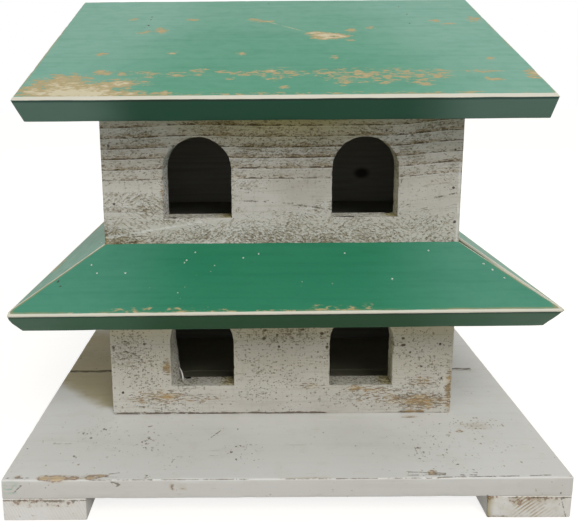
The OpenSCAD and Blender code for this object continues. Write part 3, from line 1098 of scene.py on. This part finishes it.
# The inside boards are copies of one grey wood, each as dark as that part of the inside looks:
# painted shade. The lower partitions are darker than the upper ones, and the upper floor darkest.
bare_wood = make_bare_wood("bare_wood", (0.36, 0.35, 0.30), (0.39, 0.375, 0.33))
fresh_wood = make_bare_wood("fresh_wood", (0.60, 0.59, 0.53), (0.66, 0.65, 0.60))
floor_wood = make_bare_wood("floor_wood", (0.20, 0.19, 0.15), (0.24, 0.23, 0.19))
dimmer_wood = make_bare_wood("dimmer_wood", (0.24, 0.235, 0.20), (0.28, 0.27, 0.24))
rusty_nail = make_nail_metal("rusty_nail", (0.10, 0.07, 0.05), (0.035, 0.025, 0.02))
# Pale nail heads with some green paint: partly bare metal and partly a painted highlight of their
# glints.
bare_and_glint_nail = make_nail_metal("bare_and_glint_nail", (0.68, 0.69, 0.61), (0.30, 0.42, 0.34))


# ---------------------------------------------------------------- walls

def curl(u, v):
    """The grain of the upper front wall climbs to the right, beside the holes."""
    return 5.5 * MM * smooth(u, 105 * MM, 178 * MM) - 2.5 * MM * smooth(u, -90 * MM, -175 * MM)


def beside(local, hole, start):
    """How far left a point near a hole is: 1 at its left side and 0 from start on, in radii."""
    gap = hole.distance(local[:, 0], local[:, 1])[0]
    return smooth(gap, 10 * MM, 0) * smooth((local[:, 0] - hole.u) / hole.r, start, -1.0)


def flared(local, hole):
    """The upper left hole is wider at its front, on the left."""
    share = beside(local, hole, 0.0) * smooth(local[:, 2], 16 * MM, 1 * MM)
    local[:, 0] -= 2.6 * MM * share * smooth(local[:, 1], hole.top, hole.top - 20 * MM)


def wedged(local, hole):
    """The lower left hole narrows inwards and downwards on the left, where the saw strayed."""
    share = beside(local, hole, 0.6) * smooth(local[:, 2], 1 * MM, 15 * MM)
    local[:, 0] += (1 + 6 * smooth(local[:, 1], hole.top, hole.sill)) * MM * share


add_pierced(
    "upper_front_wall", "upper_wall_paint", FRONT, outer_h=UPPER_WALL_H, seed=11,
    slant=flared, bend=curl, ring_start=8 * MM, reveal_paint=(0.9, 0.6),
    marks={
        "check": [level_patch(105, 34, 1.0), (-150, 42, 60, 12, 0.35)],
        "rough": [(0, 8, 300, 14, 0.55), (-140, 34, 30, 16, 0.2), (-145, 64, 40, 4, -1.0),
                  (5, 55, 66, 15, -0.9), (150, 47, 34, 13, -1.0), (138, 66, 40, 8, -0.6),
                  (-60, 22, 40, 4, -0.5), (-160, 140, 50, 20, -0.5)],
        # The first two stain patches, along the top, are painted shade under the eave, partly olive
        # grime.
        "stain_and_shade": [(60, 168, 300, 34, 0.8), (5, 162, 110, 42, 1.3), (-165, 6, 20, 6, 0.25)],
        "speck": [(0, 8, 200, 10, 0.5), (10, 115, 60, 20, 0.7), (-150, 118, 30, 8, 0.6),
                  (130, 120, 30, 12, 0.6)],
        "split": [(15, 46, 50, 41), (-48, 51, -7, 49), (-3, 49, 4, 47), (128, 46, 152, 52),
                  (158, 53, 181, 58), (-79, 150, -80, 128), (119, 66, 122, 76),
                  (-172, 6, -150, 8)],
        "ridge": [(-178, 13, -55, 33), (-120, 3, -60, 8), (178.5, 6, 178.5, 85)],
        "smudge": [(45, 62, 110, 34, 0.75), (-150, 92, 36, 22, 0.5), (0, 145, 70, 16, 0.5)],
        "wear": [(-147, 6, 9, 4, 0.7), (-180, 12, 3, 9, 1.1), (-150, 8, 34, 10, 0.35),
                 (-117, 60, 3, 12, 0.8)],
    },
)
add_nails(
    "upper_front_wall", rusty_nail, 1.3 * MM,
    [(-173, 108), (-169, 49), (103, 120), (172, 102), (173, 63), (176, 27)],
)
add_pierced(
    "upper_back_wall", "upper_wall_paint", BACK, outer_h=UPPER_WALL_H, seed=12,
    step=(4 * MM, 2.4 * MM),
    marks={
        "check": [level_patch(96, 40, 0.9)],
        "rough": [(0, 14, 300, 18, 0.7), (20, 60, 90, 12, -1.0), (-150, 58, 40, 14, -0.8)],
        # The stain patch along the top is painted shade under the eave, partly grime.
        "stain_and_shade": [level_patch(160, 24, 1.0)],
        "speck": [(60, 110, 60, 20, 0.7), (-100, 20, 80, 20, 0.6)],
        "wear": [(150, 8, 20, 4, 1.0), (-60, 20, 26, 4, 0.8)],
    },
)
add_pierced(
    "lower_front_wall", "lower_wall_paint", FRONT, seed=13, slant=wedged,
    reveal_paint=(0.0, 0.35),
    marks={
        "rough": [all_over(-0.75), (0, 110, 60, 20, 0.35), (150, 90, 40, 30, 0.3),
                  (-155, 80, 26, 30, 0.35)],
        "check": [(150, 36, 30, 10, 0.25)],
        "wear": [(-122, 55, 4, 9, 1.2), (-106, 98, 3, 7, 0.8), (130, 17, 26, 8, 0.8),
                 (150, 14, 24, 8, 1.4), (100, 19, 30, 7, 0.42), (-128, 20, 34, 8, 0.7),
                 (-120, 21, 12, 4, 1.2), (-85, 19, 24, 5, 0.45), (79, 29, 8, 3, 1.1),
                 (100, 28, 24, 4, 0.6), (178, 26, 3, 22, 1.6), (150, 36, 14, 6, 0.7),
                 (140, 2, 12, 2, 1.0), (28, 33, 9, 4, 0.6)],
        "speck": [(-160, 84, 28, 24, 1.2), (5, 90, 48, 14, 1.45), level_patch(60, 100, 0.4),
                  (-150, 55, 28, 34, 0.9), (60, 75, 18, 18, 1.1), (140, 70, 38, 26, 0.9),
                  (0, 50, 40, 30, 0.7)],
        # The first stain patch, along the top, is painted shade under the skirt, partly grime.
        "stain_and_shade": [level_patch(130, 40, 0.8), level_patch(66, 34, 0.14)],
        "smudge": [(20, 8, 110, 20, 0.45), (-10, 60, 60, 40, 0.25)],
        "joint": [(-179, 1.4, -90, 1.2), (-87, 1.2, -58, 1.4), (-55, 1.2, -20, 1.2),
                  (-14, 1, 44, 0.8), (128, 1, 150, 1)],
    },
)
add_nails("lower_front_wall", rusty_nail, 1.3 * MM, [(-170, 26), (-4, 78), (168, 79), (170, 40)])
sliver_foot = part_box("lower_front_wall")[0] + Vector((74.5 * MM, 9 * MM, SILL_H))
add_splinter(
    "splinter", "bare_wood", fresh_wood, sliver_foot,
    sliver_foot + Vector((-3.5, 1, 16)) * MM, bow=1.3 * MM, width=1.8 * MM,
)
add_pierced(
    "lower_back_wall", "lower_wall_paint", BACK, seed=14, step=(4 * MM, 2.4 * MM),
    marks={
        "rough": [all_over(-0.6), (-120, 60, 60, 20, 0.4)],
        "wear": [(-140, 15, 30, 6, 1.0), (60, 20, 40, 4, 0.7), (179, 30, 3, 16, 1.2)],
        "speck": [level_patch(60, 100, 0.55), (120, 80, 40, 20, 1.0)],
        # The stain patch along the top is painted shade under the skirt, partly grime.
        "stain_and_shade": [level_patch(130, 40, 0.8)],
    },
)

WIDE, HIGH, LOW = 0.32, 0.16, 0.12  # where wear is scattered on a side wall
for side, facing, seed in (("left", LEFT, 21), ("right", RIGHT, 22)):
    rng = np.random.default_rng(seed)
    for storey, later, calm in (("lower", 0, -0.6), ("upper", 5, 0.0)):
        add_upright(
            f"{storey}_{side}_wall", f"{storey}_wall_paint", wall_paint, facing,
            seed=seed + later,
            marks={
                "check": [level_patch(104, 30, 0.9)] if storey == "upper" else [],
                "rough": [all_over(calm)]
                + scattered(rng, 4, WIDE, HIGH, (50, 110), (10, 22), -0.9, 0.9),
                "wear": scattered(rng, 6, WIDE, LOW, (8, 26), (2, 6), 0.6, 1.1),
                "speck": [level_patch(80, 120, 0.5)]
                + scattered(rng, 4, WIDE, HIGH, (20, 50), (12, 30), 0.7, 1.0),
                # The stain patch along the top is painted shade under the eave on the upper walls
                # and under the skirt on the lower ones, partly grime.
                "stain_and_shade": [level_patch(150, 30, 0.6)],
            },
        )
    add_gable(
        f"{side}_gable", "upper_wall_paint", facing, seed=seed + 7,
        # The stain patch is painted shade under the roof, partly grime.
        marks={"check": [level_patch(20, 30, 0.7)], "stain_and_shade": [level_patch(90, 40, 0.5)]},
    )


# ---------------------------------------------------------------- skirt and roof

# Widths of the bare primer on the eave, on its band and on the ends
SKIRT_STRIP = (2.4 * MM, 0.7 * MM, 1.8 * MM)
ROOF_STRIP = (6 * MM, 0.6 * MM, 0.8 * MM)

SKIRT_CHIPS = (
    (-69, 54), (-11, 57), (-96, 56), (-11, 33), (17, 36), (75, 36), (-40, 33), (-98, 24),
    (-126, 22),
)
add_skirt(
    "skirt_front", FRONT, long_end, mitre, sag=2 * MM, seed=31,
    marks={
        "wear": [(-135, 3, 30, 4, 0.38), (-125, 6, 5, 4, 0.36), (-94, 3, 20, 4, 0.36),
                 (-62, 2, 14, 3, 0.38), (28, 6, 5, 3, 0.36), (50, 3, 24, 4, 0.38),
                 (75, 5, 5, 5, 0.4), (0, 2, 250, 2, 0.26)],
        "fleck": [(u, v, 2.5, 7, 0.9) for u, v in SKIRT_CHIPS] + [(0, 35, 200, 40, 0.03)],
        "speck": [(-137, 70, 6, 4, 0.8), (-215, 35, 4, 4, 0.8), (-194, 73, 5, 4, 0.8)],
        "ridge": [(190, 73, 252, 3)],
    },
)
add_nails(
    "skirt_front", bare_and_glint_nail, 0.95 * MM,
    [(-87, 71), (-23, 70), (62, 69), (148, 72), (198, 55), (202, 47), (210, 36), (-180, 47),
     (-190, 56), (-96, 63), (-38, 64), (-153, 47), (103, 37)],
)
for side, facing, left_hip, right_hip, seed in (
    ("back", BACK, mitre, mitre, 32),
    ("left", LEFT, mitre, short_end, 33),
    ("right", RIGHT, open_hip, mitre, 34),
):
    rng = np.random.default_rng(seed)
    add_skirt(
        "skirt_" + side, facing, left_hip, right_hip, seed=seed, end_sheen=0.55,
        marks={
            "wear": [(0, 2, 250, 2, 0.5)]
            + scattered(rng, 7, 0.44, 0.01, (8, 24), (3, 4), 0.7, 1.1),
            "fleck": scattered(rng, 10, 0.40, 0.07, (2, 4), (4, 8), 0.6, 0.9),
        },
    )
    add_nails(
        "skirt_" + side, bare_and_glint_nail, 1.1 * MM,
        [(u + rng.uniform(-6, 6), 70 + rng.uniform(-2, 2)) for u in (-150, -70, 10, 85, 155)],
    )

ROOF_CORNER = [  # the bare patch at the lower left corner
    (-206, 25, 27, 17, 1.5), (-228, 16, 14, 10, 1.5), (-205, 42, 20, 9, 1.1),
    (-172, 20, 22, 13, 1.4), (-140, 10, 26, 4, 1.2), (-190, 12, 42, 8, 2.4),
    (-172, 54, 9, 5, 0.9), (-152, 52, 12, 4, 0.65), (-131, 52, 10, 4, 0.5),
    (-127, 45, 10, 3, 0.6), (-150, 31, 15, 9, 1.1), (-126, 31, 7, 4, 0.7),
    (-108, 11, 4, 3, 1.2), (-81, 57, 9, 3, 0.85), (-58, 53, 8, 4, 0.45),
    (-50, 40, 4, 3, 0.6), (-100, 48, 30, 6, 0.3),
]
ROOF_STREAKS = [  # the row of streaks above the eave
    (-30, 50, 17, 5, 0.65), (-6, 53, 17, 8, 0.65), (-10, 40, 9, 6, 0.65),
    (8, 48, 14, 7, 0.6), (0, 21, 4, 3, 0.9), (38, 51, 12, 6, 0.65), (58, 50, 14, 8, 0.6),
    (59, 33, 10, 9, 0.6), (80, 45, 20, 13, 0.65), (88, 30, 8, 6, 0.6), (102, 50, 12, 6, 0.6),
    (116, 44, 14, 10, 0.6), (130, 40, 11, 15, 0.65), (147, 47, 14, 9, 0.6),
    (128, 28, 12, 5, 0.6), (198, 35, 8, 4, 1.1), (239, 44, 8, 9, 1.1), (190, 52, 20, 4, 0.4),
    (90, 44, 60, 14, 0.4), (20, 8, 240, 3, 0.3),
]
ROOF_SCRAPE = [  # the scrape near the middle, and small marks around it
    (40, 152, 10, 3, 1.8), (54, 145, 16, 6, 2.1), (52, 137, 13, 4, 1.8), (68, 143, 9, 5, 1.8),
    (82, 158, 5, 5, 0.75), (78, 131, 5, 3, 0.75), (105, 167, 4, 6, 0.9),
    (-131, 162, 7, 9, 0.75), (-150, 157, 6, 5, 0.8), (183, 187, 7, 3, 1.2),
    (196, 176, 8, 4, 0.8), (-170, 198, 5, 3, 1.2), (-99, 196, 6, 3, 0.9), (-28, 195, 6, 3, 1.2),
    (-15, 189, 10, 3, 1.0), (-184, 98, 4, 3, 1.3), (-112, 99, 4, 3, 1.3), (-40, 96, 4, 3, 1.15),
    (54, 86, 4, 3, 1.1), (212, 80, 5, 3, 1.2), (230, 190, 8, 8, 0.7),
]
add_roof(
    "roof_front", FRONT, seed=41,
    marks={
        "wear": ROOF_CORNER + ROOF_STREAKS + ROOF_SCRAPE,
        "ridge": [(-6, 184, 28, 158)],
        "speck": [(-150, 178, 6, 5, 1.0)],
    },
)
add_nails(
    "roof_front", rusty_nail, 0.9 * MM,
    [(-149, 205), (-148, 196), (-150, 178), (154, 235), (155, 210), (152, 180), (-10, 252)],
    proud=0.2 * MM,
)
rng = np.random.default_rng(42)
add_roof(
    "roof_back", BACK, seed=42,
    marks={"wear": [(0, 45, 160, 12, 0.5), (215, 14, 26, 14, 1.5), (180, 8, 34, 5, 2.0)]
           + scattered(rng, 16, 0.44, 0.055, (8, 18), (4, 10), 0.8, 1.2)
           + scattered(rng, 12, 0.44, 0.25, (4, 9), (3, 5), 1.0, 1.6)},
)


# ---------------------------------------------------------------- platform and inside

HOUSE_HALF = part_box("lower_front_wall")[1].x
INSIDE_DARK, PAINTED_SHADOW = 0.86, 0.5  # strength of the darkening inside the house, and of the painted shadow outside its left wall
SHADE_LEAN, SHADE_SOFT = 1.33, 24 * MM  # how the painted shadow widens to the back, and its soft edge


def darker_inside_and_left_shadow(edge_y):
    """Darkening on a plank from edge_y on: darker inside the house, and outside its left wall a
    painted shadow of the house, partly brown grime, which fades away towards the back."""

    def strength(u, v):
        y, wall = v + edge_y, HOUSE_HALF - 6 * MM
        inside = wall - np.maximum(np.abs(u), np.abs(y))
        from_front = y + HOUSE_HALF
        shade = smooth(-u, wall, HOUSE_HALF) * smooth(from_front, 0, 20 * MM)
        beyond = (-u - HOUSE_HALF) - SHADE_LEAN * from_front
        shade = shade * smooth(beyond, SHADE_SOFT, -SHADE_SOFT) * smooth(y, 0.09, -0.05)
        shade = shade * (1 + 0.3 * smooth(y, -0.13, -0.04))
        return np.maximum(INSIDE_DARK * smooth(inside, 0, 6 * MM), PAINTED_SHADOW * shade)

    return strength


PLANK_MARKS = {
    "front": {
        "wear": [(-220, 3, 7, 3, 1.2), (-208, 2.5, 10, 4, 1.2), (-194, 3, 8, 3, 0.85),
                 (-178, 3.5, 7, 3, 1.1), (-170, 5.5, 7, 2, 1.0), (-245, 4, 4, 2, 0.8),
                 (133, 6, 4, 3, 1.2), (200, 74, 24, 8, 0.36), (-104, -8, 3, 3, 0.8),
                 (-94, -8, 3, 3, 0.8), (136, 90, 9, 2, 0.9), (180, 66, 4, 2.5, 0.9),
                 (20, 1, 24, 1.5, 0.6)],
        "speck": [(-193, 66, 20, 24, 1.15), (-200, 32, 8, 16, 1.0), (-134, 54, 12, 18, 1.4),
                  (-150, 60, 60, 40, 0.6), (-104, 28, 12, 12, 1.1), (-42, 38, 24, 20, 1.0),
                  (163, 57, 6, 4, 1.5), (132, 36, 5, 12, 1.3), (158, 20, 4, 8, 1.3),
                  (207, 44, 14, 10, 0.9), (-127, 4, 2.5, 2, 4.0), (150, 50, 60, 40, 0.6)],
        "split": [(-71, 60, -63, 70), (-166, 7, -156, 8.5), (-252, 3, -238, 3),
                  (114, 8, 142, 6), (160, 7, 172, 7), (-175, 0, -156, 0), (-150, 0, -125, 0),
                  (-110, 0, -66, 0), (-60, 0, -36, 0), (2, 0, 134, 0), (138, 1, 200, 2),
                  (205, 2, 240, 3), (-153, -6, -149, -4), (-246, -11, -241, -6)],
        "joint": [(-258, 183.5, -181, 183.5), (181, 183.2, 234, 183.2)],
        "fleck": [(204, 76, 26, 9, 1.6), (165, 58, 12, 6, 1.0), (130, 28, 8, 34, 0.6),
                  (180, 50, 50, 40, 0.2), (-200, 40, 60, 40, 0.08)],
        "smudge": [(-250, -8, 9, 6, 1.0)],
    },
    "middle": {
        "speck": [(202, 30, 12, 12, 0.9), (-230, 40, 40, 60, 0.6)],
        "joint": [(-258, 0.5, -181, 0.5), (-222, 1, -181, 4), (181, 0.8, 234, 0.8)],
    },
    "back": {
        "speck": [(100, 130, 80, 50, 0.6), (-100, 60, 60, 50, 0.6)],
        "split": [(-140, 184, -60, 184), (60, 184, 90, 184)],
    },
}
for seed, (side, marks) in enumerate(PLANK_MARKS.items(), 51):
    plank = f"platform_{side}_plank"
    marks["stain_and_shade"] = darker_inside_and_left_shadow(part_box(plank)[0].y)
    add_flat(plank, "platform_paint", platform_paint, step=(4 * MM, 3 * MM), seed=seed,
             marks=marks)
add_flat(
    "runner_left", "runner_paint", runner_paint, turn=RIGHT, seed=61, end_grain=0.15,
    marks={"wear": [(-280, 56, 3, 24, 0.75), (-280, 38, 6, 40, 0.4)],
           "split": [(-278.5, 1, -278.5, 74), (-282, 8, -281, 38)]},
)
add_flat(
    "runner_right", "runner_paint", runner_paint, turn=RIGHT, seed=62, end_grain=1.3,
    ring_lean=(0.6, -0.8),
    marks={
        "wear": [(-281, 38, 5, 46, 0.45), (-282, 52, 3, 12, 0.75), (-299, 66, 2, 12, 0.8),
                 (-280, 74, 4, 6, 0.9), (-279, 30, 2, 24, 0.6), (-288, 66, 6, 9, -1.5)],
        # The stain patches tint the runner's front end olive, most just under the plank: painted
        # shade, partly grime.
        "stain_and_shade": [(-280, 76, 60, 5, 0.35), (-288, 36, 30, 60, 0.15), (-280, 38, 4, 40, 0.24)],
        "split": [(-278.5, 4, -278.5, 55), (-280, 10, -297, 5)],
        "rough": [(-288, 64, 30, 13, -1.0), (-288, -4, 30, 9, -1.0)],
    },
)

add_upright(
    "upper_cross_partition", "bare_wood", bare_wood, FRONT, seed=71, knots=[(114, 38, 10)]
)
add_upright("lower_cross_partition", "bare_wood", dimmer_wood, FRONT, seed=72)
for storey, wood, seed in (("upper", bare_wood, 81), ("lower", dimmer_wood, 83)):
    for later, side in enumerate(("front", "back")):
        add_upright(f"{storey}_{side}_partition", "bare_wood", wood, RIGHT, seed=seed + later)
add_flat("upper_floor", "bare_wood", floor_wood, seed=91)


# ---------------------------------------------------------------- floor, lights and camera

WHITE = (1, 1, 1)
FLOOR_SIZE = 12
FLOOR_GREY = (0.34, 0.315, 0.27)
FLOOR_GLOW = 0.80
WORLD_LEVEL = 0.45


def background_ray(nodes):
    """1 for a ray that shows the background: the camera's, or one in a gloss or through glass."""
    path = nodes.make("LightPath")
    camera, glossy, through = (
        Wire(nodes, path.outputs[f"Is {kind} Ray"]) for kind in ("Camera", "Glossy", "Transmission")
    )
    return nodes.larger(nodes.larger(camera, glossy), through)


def add_floor():
    """A plain floor that takes the house's shadow and looks pale to the camera."""
    bpy.ops.mesh.primitive_plane_add(size=FLOOR_SIZE, location=(0, 0, 0))
    floor = bpy.context.object
    floor.name = "floor"
    p = Paint("floor")
    p.feed(p.shader, {
        "Base Color": FLOOR_GREY, "Roughness": 0.9, "Emission Color": WHITE,
        "Emission Strength": background_ray(p) * FLOOR_GLOW,
    })
    floor.data.materials.append(p.material)


def add_world():
    """Even light from all round, white where the background shows."""
    world = bpy.data.worlds.new("studio")
    bpy.context.scene.world = world
    world.use_nodes = True
    nodes = Nodes(world.node_tree)
    inputs = {"Value": background_ray(nodes), "To Min": WORLD_LEVEL, "To Max": 1.0}
    strength = nodes.wire("MapRange", inputs)
    nodes.feed(world.node_tree.nodes["Background"], {"Strength": strength, "Color": WHITE})


def add_lamp(name, place, target_z, size, power):
    """A soft box, turned to the house at the height target_z."""
    data = bpy.data.lights.new(name, "AREA")
    data.shape = "RECTANGLE"
    data.size, data.size_y = size
    data.energy = power
    lamp = bpy.data.objects.new(name, data)
    lamp.location = place
    lamp.rotation_mode = "QUATERNION"
    aim = Vector((0, 0, target_z)) - Vector(place)
    lamp.rotation_quaternion = aim.to_track_quat("-Z", "Y")
    bpy.context.scene.collection.objects.link(lamp)


def add_camera(place, yaw, pitch, roll, lens, shift):
    """The photo's view: place in metres, turns in degrees, lens in mm on a 36 mm sensor."""
    data = bpy.data.cameras.new("camera")
    data.sensor_width, data.lens = 36, lens
    data.shift_x, data.shift_y = shift
    data.clip_start, data.clip_end = 0.01, 50
    camera = bpy.data.objects.new("camera", data)
    bpy.context.scene.collection.objects.link(camera)
    bpy.context.scene.camera = camera
    yaw, pitch, roll = map(math.radians, (yaw, pitch, roll))
    ahead = math.cos(pitch)
    forward = Vector((math.sin(yaw) * ahead, math.cos(yaw) * ahead, -math.sin(pitch)))
    level = forward.cross(Vector((0, 0, 1))).normalized()
    upright = level.cross(forward)
    right = level * math.cos(roll) + upright * math.sin(roll)
    up = upright * math.cos(roll) - level * math.sin(roll)
    turn = Matrix((right, up, -forward)).transposed().to_4x4()
    camera.matrix_world = Matrix.Translation(place) @ turn


add_floor()
add_world()
add_lamp("key", (0.70, -1.95, 2.15), target_z=0.2, size=(1.3, 1.1), power=40)
add_lamp("left_fill", (-1.4, -1.7, 0.4), target_z=0.25, size=(0.9, 0.7), power=8)
add_lamp("back_fill", (0.3, 2.3, 0.6), target_z=0.25, size=(1.6, 0.8), power=9)
add_camera((-0.0268, -0.718, 0.3981), yaw=-0.125, pitch=8.70, roll=-0.436,
           lens=33.86, shift=(0.0609, -0.1758))

bpy.context.scene.view_settings.view_transform = "Standard"
